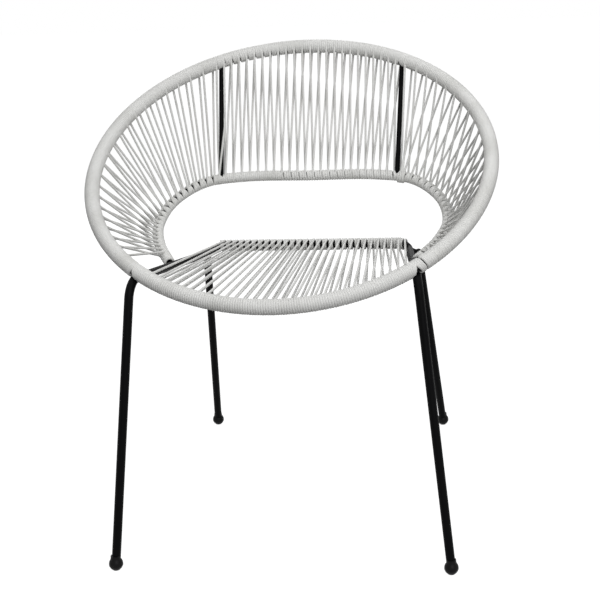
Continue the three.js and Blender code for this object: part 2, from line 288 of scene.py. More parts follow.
def drawn_curve(runs: Sequence[Sequence[Vector]], swells: Sequence[Sequence[float]] = ()) -> Object:
    """Draws one or more runs of points as a curve.

    Args:
        runs: The points of each length.
        swells: How thick it is at each point of each length, as a share.

    Returns:
        The curve object, selected and active.
    """
    nothing_selected()
    bpy.ops.curve.primitive_nurbs_path_add(location=(0, 0, 0))
    piece = bpy.context.object
    piece.data.splines.clear()
    for number, points in enumerate(runs):
        spline = piece.data.splines.new("POLY")
        spline.points.add(len(points) - 1)
        spline.points.foreach_set("co", [c for p in points for c in (p.x, p.y, p.z, 1.0)])
        if swells:
            spline.points.foreach_set("radius", swells[number])
        spline.use_smooth = True
    return piece


def meshed(name: str) -> Object:
    """Turns the active curve to a mesh, names it and opens it for editing with all of it selected.

    Args:
        name: The piece's name.

    Returns:
        The mesh object.
    """
    bpy.ops.object.convert(target="MESH")
    piece = bpy.context.object
    piece.name = piece.data.name = name
    bpy.ops.object.mode_set(mode="EDIT")
    bpy.ops.mesh.select_all(action="SELECT")
    return piece


def finished(piece: Object, merge: float, sharp_deg: float) -> Object:
    """Merges the doubles of the piece in hand, turns its faces outwards and shades it smooth.

    Args:
        piece: The mesh object, open for editing.
        merge: The distance under which corners merge.
        sharp_deg: The angle past which an edge stays sharp.

    Returns:
        The mesh object.
    """
    bpy.ops.mesh.select_all(action="SELECT")
    bpy.ops.mesh.remove_doubles(threshold=merge)
    bpy.ops.mesh.normals_make_consistent(inside=False)
    bpy.ops.object.mode_set(mode="OBJECT")
    bpy.ops.object.shade_smooth_by_angle(angle=radians(sharp_deg))
    return piece


def round_rod(
    name: str, runs: Sequence[Sequence[Vector]], radius: float, sides: int, swells: Sequence[Sequence[float]] = ()
) -> Object:
    """Makes a round rod or cord along one or more runs of points.

    Args:
        name: The piece's name.
        runs: The centre line of each length.
        radius: Half the thickness.
        sides: The number of faces round it, even.
        swells: How much thicker than that it is at each point of each length.

    Returns:
        The mesh object.
    """
    curve = drawn_curve(runs, swells).data
    curve.dimensions = "3D"
    curve.twist_mode = "MINIMUM"
    curve.bevel_depth = radius
    curve.bevel_resolution = (sides - 4) // 2
    curve.use_fill_caps = True
    return finished(meshed(name), *ROD_JOINS)


def turned_piece(name: str, outline: Sequence[Vector], at: Vector, steps: int) -> Object:
    """Turns an outline round an upright axis.

    Args:
        name: The piece's name.
        outline: Points in the plane y = 0, which start and end on the axis.
        at: Where the axis stands.
        steps: The number of steps round.

    Returns:
        The mesh object.
    """
    drawn_curve([[p + at for p in outline]])
    piece = meshed(name)
    bpy.ops.mesh.spin(steps=steps, angle=2 * pi, center=at, axis=(0, 0, 1))
    return finished(piece, *TURNED_JOINS)


def dressed(piece: Object, material: Material, slot: Slot, *nodes: str) -> None:
    """Gives a finished piece its material, its body and the CAD nodes that it stands for.

    Args:
        piece: The finished mesh object.
        material: Its material.
        slot: The material slot; not used.
        nodes: The CAD nodes that it replaces.
    """
    piece.data.materials.clear()
    piece.data.materials.append(material)
    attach(piece, BODY)
    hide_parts(*nodes)
    LOG.info("%s: %d faces, stands for %s", piece.name, len(piece.data.polygons), ", ".join(nodes))


# ---- centre lines


def at_mm(x: float, y: float, z: float) -> Vector:
    """A dataclass field for a place given in millimetres."""
    return field(default_factory=lambda: Vector((x, y, z)) * MM)


@dataclass
class HoopLine:
    """The centre line of the tilted hoop, measured from the middle of the back, to the right and on round."""

    radius: float = 345 * MM
    tube_radius: float = 9 * MM
    centre: Vector = at_mm(0, -20, 618)
    tilt: float = radians(30.5)
    crossing_deg: float = 40.95
    strut_top_x: dict[Side, float] = field(default_factory=lambda: {Side.LEFT: -165 * MM, Side.RIGHT: 181 * MM})

    def station(self, place: float) -> Station:
        """Finds a place on the hoop.

        Args:
            place: The length along the hoop from the middle of the back.

        Returns:
            The station there.
        """
        a = pi - place / self.radius
        back = -self.radius * cos(a)
        at = self.centre + Vector((self.radius * sin(a), back * cos(self.tilt), back * sin(self.tilt)))
        return Station(at, -Vector((cos(a), sin(a) * cos(self.tilt), sin(a) * sin(self.tilt))))

    @property
    def girth(self) -> float:
        """The length once round."""
        return 2 * pi * self.radius

    def strut_place(self, side: Side) -> float:
        """The place of a strut's top."""
        return self.radius * asin(self.strut_top_x[side] / self.radius)

    def leg_place(self, side: Side) -> float:
        """The place where a side frame passes under the hoop."""
        beyond = self.radius * radians(self.crossing_deg)
        return pi * self.radius - beyond if side is Side.RIGHT else -pi * self.radius + beyond


@dataclass
class FrameLine:
    """The centre lines of the right side frame: a front leg bent into a side rail, and a rear leg beside it.

    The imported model's side rail ends at rear_corner, and the back rail still keeps to that line.
    """

    hoop: HoopLine
    tube_radius: float = 7.3 * MM
    bend_radius: float = 30 * MM
    knee_reach: float = 26 * MM
    weld_depth: float = 4 * MM
    front_foot: Vector = at_mm(275, -329.5, 10.8)
    rear_foot: Vector = at_mm(240, 329.5, 10.8)
    rear_corner: Vector = at_mm(204, 172, 431)
    rail_end: Vector = at_mm(190, 148.7, 421)
    leg_top: Vector = at_mm(203, 160, 418.5)
    top_shift: float = 3 * MM
    weld_swells: tuple[float, float, float] = (0.8, 0.7, 0.8)
    bend_steps: int = 12
    dome_steps: int = 6

    def __post_init__(self) -> None:
        """Works out where the tube passes under the hoop."""
        crossing = self.hoop.station(self.hoop.leg_place(Side.RIGHT))
        square = crossing.tangent.cross(self.rail_end - crossing.at).normalized()
        weld = self.hoop.tube_radius + self.tube_radius - self.weld_depth
        self.under_hoop = crossing.at - Vector((0, 0, weld / abs(square.z)))
        self.rail_direction = (self.rail_end - self.under_hoop).normalized()
        self.knee = self.under_hoop - self.rail_direction * self.knee_reach

    def front_and_rail(self) -> list[Vector]:
        """Lists the points of the centre line from the front foot, round the knee, to the rail's end.

        Returns:
            The points.
        """
        into, out = (self.knee - self.front_foot).normalized(), self.rail_direction
        turn = into.angle(out)
        inside = (out - into * into.dot(out)).normalized()
        centre = self.knee - into * self.bend_radius * tan(turn / 2) + inside * self.bend_radius
        points = [self.front_foot]
        for k in range(self.bend_steps + 1):
            a = turn * k / self.bend_steps
            points.append(centre - inside * self.bend_radius * cos(a) + into * self.bend_radius * sin(a))
        return points + [self.rail_end]

    def rear_leg(self, side: Side) -> tuple[list[Vector], list[float]]:
        """Lists the points of a rear leg's centre line and how thick it is at each, with a rounded top.

        Args:
            side: The side that the leg stands on; both tops stand a little to the right.

        Returns:
            The points, as on the right side, and the thickness at each as a share.
        """
        top = self.leg_top + Vector((side.value * self.top_shift, 0, 0))
        up = (top - self.rear_foot).normalized() * self.tube_radius
        angles = [pi / 2 * k / self.dome_steps for k in range(self.dome_steps)]
        points = [self.rear_foot] + [top + up * (sin(a) - 1) for a in angles]
        return points, [1.0] + [cos(a) for a in angles]

    def weld(self, side: Side) -> tuple[list[Vector], list[float]]:
        """Lists the points of the weld from the rail's end to the rear leg, and how thick it is at each."""
        top = self.leg_top + Vector((side.value * self.top_shift, 0, -self.tube_radius))
        return [self.rail_end, self.rail_end.lerp(top, 0.5), top], list(self.weld_swells)


@dataclass
class RailLine:
    """The centre line of the lower back rail, measured from its middle to the right.

    Args:
        end_share: How far along the side rail its end sits.
        half_shares: Knots of its right half: shares of its half width, and of the way back and up to its middle.
    """

    side: FrameLine
    half_width: float = 266 * MM
    middle: Vector = at_mm(0, 197, 557)
    end_share: float = 0.44
    half_shares: tuple[tuple[float, float, float], ...] = (
        (0.47, 0.99, 1.0),
        (0.75, 0.92, 0.93),
        (0.94, 0.75, 0.68),
        (1.0, 0.53, 0.39),
        (0.94, 0.27, 0.17),
    )
    strut_foot_x: float = 168 * MM
    steps: int = 2200
    tangent_steps: int = 8

    def __post_init__(self) -> None:
        """Samples the curve and measures it."""
        side_rail = self.side.under_hoop - Vector((0, 0, self.side.weld_depth))
        end = side_rail.lerp(self.side.rear_corner, self.end_share)
        rise = self.middle - end
        half = [
            Vector((across * self.half_width, end.y + rise.y * back, end.z + rise.z * up))
            for across, back, up in self.half_shares
        ]
        half.append(end)
        knots = [Side.LEFT.turned(p) for p in reversed(half)] + [self.middle] + half
        self.samples = [self._between_knots(knots, k / self.steps) for k in range(self.steps + 1)]
        self.run = [0.0]
        for a, b in zip(self.samples, self.samples[1:]):
            self.run.append(self.run[-1] + (b - a).length)
        self.reach = self.run[-1] / 2

    @staticmethod
    def _between_knots(knots: Sequence[Vector], share: float) -> Vector:
        """Finds a point of the centripetal curve through the knots.

        Args:
            knots: The knots.
            share: The share of the way, counted in knots.

        Returns:
            The point.
        """
        last = len(knots) - 1
        i = min(int(share * last), last - 1)
        t = share * last - i
        p1, p2 = knots[i], knots[i + 1]
        p0 = knots[i - 1] if i > 0 else p1 * 2 - p2
        p3 = knots[i + 2] if i + 2 <= last else p2 * 2 - p1
        d0, d1, d2 = ((b - a).length ** 0.5 for a, b in ((p0, p1), (p1, p2), (p2, p3)))
        t1 = ((p1 - p0) / d0 - (p2 - p0) / (d0 + d1) + (p2 - p1) / d1) * d1
        t2 = ((p2 - p1) / d1 - (p3 - p1) / (d1 + d2) + (p3 - p2) / d2) * d1
        c2 = p1 * -3 + p2 * 3 - t1 * 2 - t2
        c3 = p1 * 2 - p2 * 2 + t1 + t2
        return p1 + t1 * t + c2 * t * t + c3 * t * t * t

    def station(self, place: float) -> Station:
        """Finds a place on the rail.

        Args:
            place: The length along the rail from its middle.

        Returns:
            The station there.
        """
        length = min(max(place + self.reach, 0.0), 2 * self.reach)
        high = min(max(bisect_left(self.run, length), 1), self.steps)
        low = high - 1
        share = (length - self.run[low]) / (self.run[high] - self.run[low])
        before, after = max(low - self.tangent_steps, 0), min(high + self.tangent_steps, self.steps)
        tangent = (self.samples[after] - self.samples[before]).normalized()
        return Station(self.samples[low].lerp(self.samples[high], share), tangent)

    def strut_place(self, side: Side) -> float:
        """The place of a strut's foot."""
        crossing = next(i for i, p in enumerate(self.samples) if p.x > self.strut_foot_x)
        return side.value * (self.run[crossing] - self.reach)


@dataclass
class BarLine:
    """The centre line of the rear seat bar, measured from its middle to the left, as the hoop runs in front.

    Its ends bend forwards and a little down into the side rails.
    """

    side: FrameLine
    bend_radius: float = 20 * MM
    rise: float = 7.6 * MM

    def __post_init__(self) -> None:
        """Finds the length of the straight part and of the whole."""
        self.straight = self.side.rail_end.x - self.bend_radius
        self.reach = self.straight + self.bend_radius * pi / 2

    def station(self, place: float) -> Station:
        """Finds a place on the bar.

        Args:
            place: The length along the bar from its middle.

        Returns:
            The station there.
        """
        hand = copysign(1, -place)
        turn = min(max((abs(place) - self.straight) / self.bend_radius, 0.0), pi / 2)
        x = min(abs(place), self.straight) + self.bend_radius * sin(turn)
        y = self.side.rail_end.y + self.bend_radius * cos(turn)
        z = self.side.rail_end.z + self.rise * cos(turn) ** 2
        return Station(Vector((hand * x, y, z)), Vector((-cos(turn), hand * sin(turn), 0)))


# ---- wound cord


@dataclass(frozen=True)
class Post:
    """A strut or leg that stands on a wound tube, so that the turns of cord part round it.

    Args:
        place: Its place along the tube.
        towards: The direction in which it stands off the tube, of length 1.
        room: Half of the width that it keeps free of cord.
    """

    place: float
    towards: Vector
    room: float = 6.5 * MM


@dataclass(frozen=True)
class Core:
    """A tube or rod that cord is wound on.

    Args:
        line: Its centre line, by place.
        radius: Half its thickness.
        posts: What stands on it.
        steps: The number of points in each turn of cord.
    """

    line: Callable[[float], Station]
    radius: float
    posts: tuple[Post, ...] = ()
    steps: int = 16


@dataclass
class CordRun:
    """The centre line of one unbroken length of cord, with its thickness at each point."""

    points: list[Vector] = field(default_factory=list)
    swells: list[float] = field(default_factory=list)

    def add(self, points: Sequence[Vector], swell: float) -> None:
        """Adds points of one thickness to the end."""
        self.points += points
        self.swells += [swell] * len(points)

    def trimmed(self, count: int) -> None:
        """Takes points off the end."""
        del self.points[-count:], self.swells[-count:]

    def ease_into(self, after: Sequence[Vector], swell: float, steps: int = 5) -> None:
        """Goes on to another run of points with a smooth curve, and then along it.

        Args:
            after: The run that follows.
            swell: Its thickness.
            steps: The number of steps of the curve between.
        """
        a, b = self.points[-1], after[0]
        reach = (b - a).length
        out = (a - self.points[-2]).normalized() * reach
        into = (after[1] - b).normalized() * reach
        before = self.swells[-1]
        for k in range(1, steps):
            t = k / steps
            point = a * (2 * t**3 - 3 * t**2 + 1) + out * (t**3 - 2 * t**2 + t) + b * (3 * t**2 - 2 * t**3)
            self.add([point + into * (t**3 - t**2)], before + (swell - before) * t)
        self.add(after, swell)


@dataclass
class Zone:
    """One stretch of the chair that cord is wound and strung over, from the hoop to a rod.

    A strand leaves the front of the hoop and reaches the rod. The cord is wound there, comes back up to the
    rear of the hoop, and is wound on the hoop as far as its next strand.

    Args:
        name: The zone's name.
        hoop: The hoop.
        rod: The rod.
        fronts: The places on the hoop where the strands leave its front, in the order of stringing.
        landings: The places on the rod that they reach.
        leaves: The places where the turns there end and the cord goes back up.
        rear_step: How far beyond a front strand's place the cord comes back behind the hoop.
        cords: The number of cords strung side by side, each taking its turn.
        crossed: Whether each strand changes from the front of the hoop to the rear of the rod.
        struts: The top and foot of each strut that a strand may meet, and 1 or -1 for the zone's own side of it.
        strut_room: How far from a strut's middle a strand passes it.
        wound_swell: How much thicker a turn on the hoop is than a strand, as the cord is pressed flat there.
        pulled_share: The share of a turn that a strand pulls along the tube.
        begin_step: The spacing on the rod at which the second and later cords begin.
        begin_lift: How far those turns lie off the rod, in cord radii.
        corner: How far from its ends a strand is straight.
        post_reach: How near to a post, in its rooms, the turns part round it.
        strut_reach: How deep in a strut's room, in its rooms, a strand may lie and still be led round it.
    """

    name: str
    hoop: Core
    rod: Core
    fronts: list[float]
    landings: list[float]
    leaves: list[float]
    rear_step: float
    cords: int = 1
    crossed: bool = True
    struts: list[tuple[Vector, Vector, int]] = field(default_factory=list)
    strut_room: float = 6.8 * MM
    strut_ends: tuple[float, float] = (0.04, 0.96)
    cord_radius: float = 2 * MM
    pitch: float = 4.1 * MM
    rod_pitch: float = 5.6 * MM
    wound_swell: float = 1.35
    rod_swell: float = 1.35
    pulled_share: float = 0.375
    begin_step: float = 5.6 * MM
    begin_turns: float = 1.5
    begin_lift: float = 1.7
    corner: float = 12 * MM
    strand_points: int = 12
    post_reach: float = 4
    strut_reach: float = 3

    def matched(self, place: float, on_hoop: bool) -> float:
        """The place on the other tube that faces a place on one of them.

        Args:
            place: The place.
            on_hoop: Whether it is on the hoop or on the rod.

        Returns:
            The facing place.
        """
        here, there = (self.fronts, self.landings) if on_hoop else (self.landings, self.fronts)
        sign = 1 if here[-1] > here[0] else -1
        i = next((i for i, spot in enumerate(here[1:-1]) if (spot - place) * sign > 0), len(here) - 2)
        share = (place - here[i]) / (here[i + 1] - here[i])
        return there[i] + (there[i + 1] - there[i]) * min(max(share, -0.5), 1.5)

    def winding(
        self, start: float, end: float, start_angle: float, turns: float, on_hoop: bool,
        lift: float = 0.0, lead: float = 0.0, trail: float = 0.0,
    ) -> list[Vector]:
        """Winds the cord between two places of one tube.

        Args:
            start: The place at which the winding starts.
            end: The place at which it ends.
            start_angle: The angle at its start, 0 in front, half a turn behind.
            turns: The number of turns, negative the other way round.
            on_hoop: Whether it is on the hoop or on the rod.
            lift: How far the turns lie off the tube.
            lead: How far along the tube the strand before it pulls the start.
            trail: How far along the tube the strand after it pulls the end.

        Returns:
            The points of the cord's centre line.
        """
        core, other = (self.hoop, self.rod) if on_hoop else (self.rod, self.hoop)
        swell = self.wound_swell if on_hoop else self.rod_swell
        radius = core.radius + self.cord_radius * (2 - swell) + lift
        count = max(2, round(abs(turns) * core.steps))
        pulled = self.pulled_share * core.steps
        points = []
        for k in range(count + 1):
            place = start + (end - start) * k / count
            place += lead * max(0.0, 1 - k / pulled) ** 2
            place += trail * max(0.0, 1 - (count - k) / pulled) ** 2
            here, there = core.line(place), other.line(self.matched(place, on_hoop))
            towards = there.at - here.at if on_hoop else here.at - there.at
            along = (towards - here.tangent * towards.dot(here.tangent)).normalized()
            face = along.cross(here.tangent)
            angle = start_angle + 2 * pi * turns * k / count
            out = face * cos(angle) + along * sin(angle)
            point = here.at + out * radius
            for post in core.posts:
                if abs(post.place - place) > self.post_reach * post.room:
                    continue
                post_angle = atan2(post.towards.dot(along), post.towards.dot(face))
                passing = post_angle + 2 * pi * round((angle - post_angle) / (2 * pi))
                away = start + (end - start) * (passing - start_angle) / (2 * pi * turns) - post.place
                push = copysign(hypot(away, post.room) - abs(away), away)
                point += here.tangent * push * max(0.0, out.dot(post.towards)) ** 2
            points.append(point)
        return points

    def _strand_to(self, run: CordRun, after: list[Vector], swell: float) -> None:
        """Goes on to the next winding with a taut strand, which bends round a strut where it meets one.

        Args:
            run: The cord so far, which ends in a winding.
            after: The next winding.
            swell: Its thickness.
        """
        start, end = run.points[-1], after[0]
        reach = (end - start).length
        direction = (end - start) / reach
        bend, push = 0.5, Vector()
        for top, foot, own_side in self.struts:
            axis = (foot - top).normalized()
            first = (start - top) - axis * (start - top).dot(axis)
            move = direction * reach - axis * (direction * reach).dot(axis)
            normal = axis.cross(move).normalized()
            normal *= copysign(1, normal.x * own_side)
            room = self.strut_room - first.dot(normal)
            share = -first.dot(move) / move.dot(move)
            between = self.strut_ends[0] < share < self.strut_ends[1]
            if between and 0 < room < self.strut_reach * self.strut_room:
                bend, push = share, normal * room
        even = (k / self.strand_points for k in range(1, self.strand_points))
        shares = sorted({self.corner / reach, 1 - self.corner / reach, bend, *even})
        strand = [start + direction * reach * s + push * min(s / bend, (1 - s) / (1 - bend)) for s in shares]
        run.trimmed(2)
        run.ease_into(strand, 1.0)
        run.ease_into(after[2:], swell)

    def _turns(self, reach: float, pitch: float) -> float:
        """The number of turns, an odd number of halves, that best fills a length."""
        return max(0, round(abs(reach) / pitch - 0.5)) + 0.5

    def _on_rod(self, spot: int) -> list[Vector]:
        """Winds the cord on the rod between a spot's strand that comes down and the one that goes up.

        Args:
            spot: The spot's number.

        Returns:
            The points of the cord's centre line.
        """
        start, end = self.landings[spot], self.leaves[spot]
        if not self.crossed:
            return self.winding(start, end, 0.0, self._turns(end - start, self.pitch), False)
        following = min(spot + 1, len(self.landings) - 1)
        step = copysign(self.landings[following] - self.landings[following - 1], end - start)
        turns = self._turns(step, self.rod_pitch)
        even_end = start + step * turns / (turns + 0.5)
        return self.winding(start, even_end, pi, -turns, False, trail=end - even_end)

    def _up_to(self, run: CordRun, spot: int, end: float) -> None:
        """Brings the cord up behind the hoop at a spot and winds it on, in even turns, to a place.

        Args:
            run: The cord so far.
            spot: The spot's number.
            end: The place on the hoop.
        """
        step = end - self.fronts[spot]
        turns = self._turns(step, self.pitch)
        start = end - step * turns / (turns + 0.5)
        lead = self.fronts[spot] + self.rear_step - start
        self._strand_to(run, self.winding(start, end, pi, turns, True, lead=lead), self.wound_swell)

    def strung(self, before: float, beyond: float) -> list[CordRun]:
        """Winds and strings all the cords of the zone.

        Args:
            before: The length of hoop wound ahead of the first strand, with its sign.
            beyond: The length of hoop wound past the last strand, with its sign.

        Returns:
            The cords.
        """
        last = len(self.fronts) - 1
        runs = []
        for first in range(self.cords):
            run = CordRun()
            if first == 0:
                turns = before / copysign(self.pitch, before)
                begin = self.winding(self.fronts[0] - before, self.fronts[0], -2 * pi * turns, turns, True)
                run.add(begin, self.wound_swell)
            else:
                leave = self.landings[0] + copysign(self.begin_step * (first - self.cords), before)
                back = leave - copysign(self.pitch * self.begin_turns, before)
                lift = self.cord_radius * self.begin_lift
                run.add(self.winding(back, leave, pi, -self.begin_turns, False, lift), 1.0)
                self._up_to(run, first - 1, self.fronts[first])
            for k in range(first, last + 1, self.cords):
                self._strand_to(run, self._on_rod(k), self.rod_swell)
                if k + self.cords <= last:
                    self._up_to(run, k + self.cords - 1, self.fronts[k + self.cords])
                elif k + self.cords - 1 == last:
                    self._up_to(run, last, self.fronts[last] + beyond)
            runs.append(run)
        return runs

    def coil(self, start: float, end: float) -> CordRun:
        """Winds a plain coil on the rod.

        Args:
            start: The place at which it starts.
            end: The place at which it ends.

        Returns:
            The cord.
        """
        run = CordRun()
        run.add(self.winding(start, end, pi, -abs(end - start) / self.pitch, False), self.rod_swell)
        return run


@dataclass(frozen=True)
class Spacing:
    """Places along a tube whose spacing changes evenly, in millimetres.

    Args:
        first: Place number 0.
        step: The spacing there.
        growth: How much the square of the number adds.
    """

    first: float
    step: float
    growth: float

    def places(self, numbers: range) -> list[float]:
        """The places with these numbers."""
        return [(self.first + self.step * k + self.growth * k * k) * MM for k in numbers]


@dataclass
class Stringing:
    """All the cord of the chair, wound and strung as in the photograph, each arm in its own way.

    The spacings were worked out from the photograph by fitting the strands to it. The arms' ones count from the
    middle of the back on the hoop, and from the strut's foot on the rail. "Turns" are the lengths of rod wound at
    a spot, and "rest" is the plain coil past the last spot.
    """

    hoop: HoopLine
    side: FrameLine
    rail: RailLine
    bar: BarLine
    cord_radius: float = 2 * MM
    cord_sides: int = 10
    rod_radius: float = 6 * MM
    rod_steps: int = 14
    close_pitch: float = 5 * MM
    foot_room: float = 6 * MM
    leg_clear: float = 11 * MM
    leg_lean: float = 5 * MM
    leg_slope: float = 0.9
    wrap_overlap: float = 2 * MM
    tail: float = 8 * MM
    leg_gaps: dict[Side, float] = field(default_factory=lambda: {Side.LEFT: 1 * MM, Side.RIGHT: 13 * MM})
    rest_gap: float = 3 * MM
    rest_least: float = 7 * MM
    rest_overlap: float = 2 * MM
    rail_wrap_end: float = 1.5 * MM

    back_numbers: range = range(1, 24)
    back_fronts: Spacing = Spacing(-183.9, 15.28, 0.0251)
    back_landings: Spacing = Spacing(-178.1, 16.02, -0.0546)
    back_first_turns: float = 12.4 * MM
    back_past_last: float = 0.9 * MM
    back_rear_step: float = 1.6 * MM

    arm_numbers: range = range(21)
    left_fronts: Spacing = Spacing(184.5, 29.2, 0.0141)
    left_landings: Spacing = Spacing(3.44, 14.42, -0.0266)
    left_turns: float = 10.4 * MM
    left_rear_step: float = -3.3 * MM
    right_fronts: Spacing = Spacing(202.9, 27.31, 0.133)
    right_landings: Spacing = Spacing(3.36, 15.83, -0.03)
    right_crowded_from: int = 12
    right_crowding: float = 0.0234 * MM
    right_turns: float = 11 * MM
    right_turns_gap: float = 3 * MM
    right_last_step: float = 14 * MM
    right_rear_step: float = 4.5 * MM
    right_cords: int = 3

    seat_loops: int = 29
    seat_right_loops: int = 15
    seat_leg_gap: float = 15 * MM
    seat_front_left_gap: float = 20 * MM
    seat_left_gap: float = 26 * MM
    seat_right_gap: float = 17.5 * MM
    seat_start_share: float = 0.24
    seat_full_loops: int = 5
    seat_full_share: float = 0.86
    seat_share: float = 0.72
    seat_swell: float = 1.05
    seat_rear_step: float = 1.6 * MM
    seat_end_share: float = 0.98

    def __post_init__(self) -> None:
        """Lays out the five zones."""
        self.tops = {side: self.hoop.strut_place(side) for side in Side}
        self.feet = {side: self.rail.strut_place(side) for side in Side}
        struts = {side: (self.hoop.station(self.tops[side]).at, self.rail.station(self.feet[side]).at) for side in Side}
        down = {side: (foot - top).normalized() for side, (top, foot) in struts.items()}
        hoop_posts = [Post(self.tops[side], down[side]) for side in Side] + [self._leg_post(side) for side in Side]
        rail_posts = [Post(self.feet[side], -down[side], self.foot_room) for side in Side]
        hoop = Core(self.hoop.station, self.hoop.tube_radius, tuple(hoop_posts))
        rail = Core(self.rail.station, self.rod_radius, tuple(rail_posts), self.rod_steps)

        fronts = self.back_fronts.places(self.back_numbers)
        landings = self.back_landings.places(self.back_numbers)
        leaves = [landings[0] - self.back_first_turns] + [place + self.back_past_last for place in landings[:-1]]
        self.back = Zone("back_cord", hoop, rail, fronts, landings, leaves, self.back_rear_step)
        self.back.rod_pitch = self.close_pitch
        self.back.struts = [(*strut, -side.value) for side, strut in struts.items()]

        fronts = [-place for place in self.left_fronts.places(self.arm_numbers)]
        landings = [self.feet[Side.LEFT] - place for place in self.left_landings.places(self.arm_numbers)]
        leaves = [place - self.left_turns for place in landings]
        left = Zone("arm_cord_left", hoop, rail, fronts, landings, leaves, self.left_rear_step)

        fronts = self.right_fronts.places(self.arm_numbers)
        crowding = [self.right_crowding * max(0, k - self.right_crowded_from) ** 3 for k in self.arm_numbers]
        landings = [self.feet[Side.RIGHT] + place for place in self.right_landings.places(self.arm_numbers)]
        landings = [place - crowd for place, crowd in zip(landings, crowding)]
        following = landings[1:] + [landings[-1] + self.right_last_step]
        leaves = [a + min(self.right_turns, b - a - self.right_turns_gap) for a, b in zip(landings, following)]
        right = Zone("arm_cord_right", hoop, rail, fronts, landings, leaves, self.right_rear_step, self.right_cords)
        right.rod_pitch = self.close_pitch

        self.arms = {Side.LEFT: left, Side.RIGHT: right}
        for side, arm in self.arms.items():
            arm.struts = [(*struts[side], side.value)]
        self.seats = {side: self._seat_zone(side) for side in Side}

    def _seat_zone(self, side: Side) -> Zone:
        """Lays out one half of the seat, strung from right to left.

        Args:
            side: Which half.

        Returns:
            Its zone.
        """
        hoop_from = self.hoop.leg_place(Side.RIGHT) + self.seat_leg_gap
        hoop_to = self.hoop.girth + self.hoop.leg_place(Side.LEFT) - self.seat_front_left_gap
        hoop_step = (hoop_to - hoop_from) / self.seat_loops
        bar_from, bar_to = self.seat_right_gap - self.bar.reach, self.bar.reach - self.seat_left_gap
        bar_step = (bar_to - bar_from) / self.seat_loops
        loops = range(self.seat_right_loops) if side is Side.RIGHT else range(self.seat_right_loops, self.seat_loops)
        shares = [self.seat_full_share if k < self.seat_full_loops else self.seat_share for k in loops]
        landings = [bar_from + bar_step * (k + self.seat_start_share) for k in loops]
        return Zone(
            "seat_cord_" + side.word,
            hoop=Core(self.hoop.station, self.hoop.tube_radius, self._front_posts()),
            rod=Core(self.bar.station, self.side.tube_radius, (), self.rod_steps),
            fronts=[hoop_from + hoop_step * k for k in loops],
            landings=landings,
            leaves=[place + bar_step * share for place, share in zip(landings, shares)],
            rod_swell=self.seat_swell,
            rear_step=self.seat_rear_step,
            crossed=False,
        )

    def _front_posts(self) -> tuple[Post, ...]:
        """The side frames, as the turns at the front of the hoop meet them."""
        return self._leg_post(Side.RIGHT), self._leg_post(Side.LEFT, self.hoop.girth)

    def _leg_post(self, side: Side, beyond: float = 0.0) -> Post:
        """Places a side frame's knee, which stands off the hoop down and to the front.

        Args:
            side: Which side frame.
            beyond: The length of hoop gone round before its place is counted.

        Returns:
            The post.
        """
        towards = side.turned((Vector((0, 0, -1)) - self.side.rail_direction * self.leg_slope).normalized())
        return Post(beyond + self.hoop.leg_place(side) + side.value * self.leg_lean, towards, self.leg_clear)

    def build(self) -> None:
        """Makes all the pieces of cord and dresses them."""
        cord = CordFinish().material()
        start = self.back.fronts[0] - self.tops[Side.LEFT] + self.wrap_overlap
        end = self.tops[Side.RIGHT] - self.back.fronts[-1]
        self._piece("back_cord", self.back.strung(start, end), cord, "back_cord", "hoop_wrap_back", "rail_wrap_back")
        foot = self.feet[Side.RIGHT] + self.rest_overlap
        rest = self.back.coil(self.back.landings[-1] + self.rest_gap, foot)
        self._piece("rail_wrap_back", [rest], cord, "rail_wrap_back")
        for side, arm in self.arms.items():
            way, rail_wrap = side.value, f"rail_wrap_{side.word}_arm"
            start = arm.fronts[0] - self.tops[side] + way * self.wrap_overlap
            end = self.hoop.leg_place(side) - way * self.leg_gaps[side] - arm.fronts[-1]
            self._piece(arm.name, arm.strung(start, end), cord, arm.name, f"hoop_wrap_{side.word}_arm", rail_wrap)
            last = arm.leaves[-1]
            rest_end = way * max(self.rail.reach - self.rail_wrap_end, abs(last) + self.rest_least)
            self._piece(rail_wrap, [arm.coil(last + way * self.rest_gap, rest_end)], cord, rail_wrap)
        for side, seat in self.seats.items():
            start = end = seat.fronts[1] - seat.fronts[0]
            if side is Side.RIGHT:
                start = seat.fronts[0] - self.hoop.leg_place(side) + self.tail
            else:
                end = self.hoop.girth + self.hoop.leg_place(side) - seat.fronts[-1]
            runs = seat.strung(start, end * self.seat_end_share)
            self._piece(seat.name, runs, cord, seat.name, "hoop_wrap_front")

    def _piece(self, name: str, runs: Sequence[CordRun], material: Material, *nodes: str) -> None:
        """Makes one piece of cord and dresses it.

        Args:
            name: The piece's name.
            runs: Its lengths of cord.
            material: Its material.
            nodes: The CAD nodes that it stands for.
        """
        lines, swells = [run.points for run in runs], [run.swells for run in runs]
        piece = round_rod("strung_" + name, lines, self.cord_radius, self.cord_sides, swells)
        dressed(piece, material, Slot.CORD, *nodes)


# ---- steel


